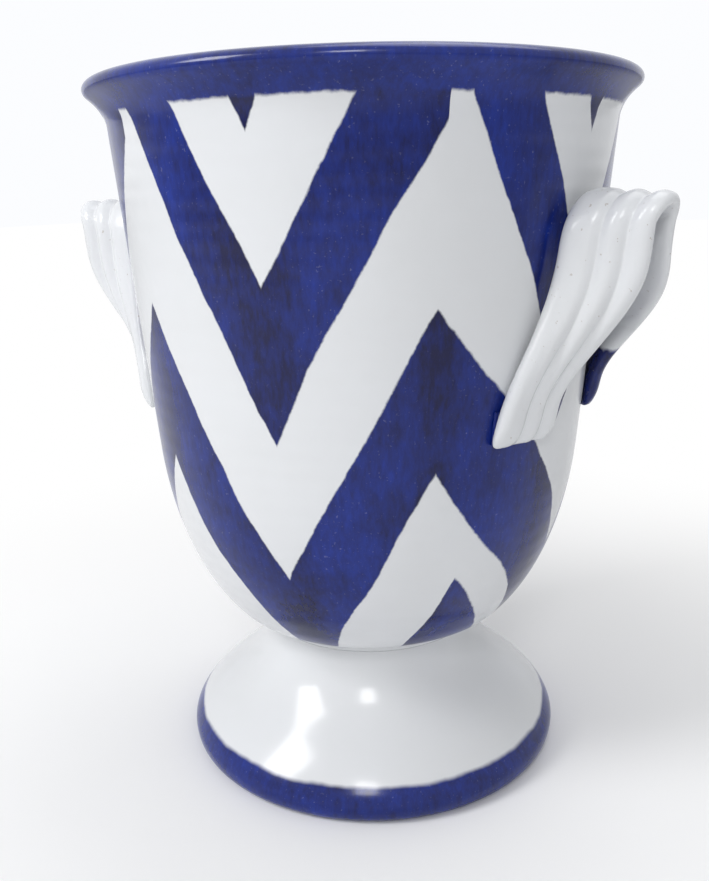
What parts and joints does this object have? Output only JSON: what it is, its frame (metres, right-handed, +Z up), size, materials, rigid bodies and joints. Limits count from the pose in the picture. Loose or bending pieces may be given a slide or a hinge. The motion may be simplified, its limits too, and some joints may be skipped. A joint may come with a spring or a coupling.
{
  "type": "two-handled footed vase",
  "caption": "Footed ceramic vase with a deep bowl, rolled lip, ribbed looped strap handles and a flared pedestal foot, white glaze with a cobalt zigzag.",
  "frame": {"origin": "centre of the standing ring, on the surface the vase stands on", "axes": "+Z up along the axis of the bowl, handles towards +X and -X, front towards -Y"},
  "size_m": [0.2552, 0.2134, 0.28],
  "materials": {
    "white_glaze": "gloss",
    "cobalt_glaze": "gloss",
    "bare_clay": "matte"
  },
  "bodies": {
    "root": {"bowl": "white_glaze", "foot": "cobalt_glaze", "foot_joint_coil": "bare_clay", "handle_right": "white_glaze", "handle_left": "white_glaze", "handle_right_front_lute": "bare_clay", "handle_right_rear_lute": "bare_clay", "handle_left_front_lute": "bare_clay", "handle_left_rear_lute": "bare_clay"}
  },
  "joints": []
}
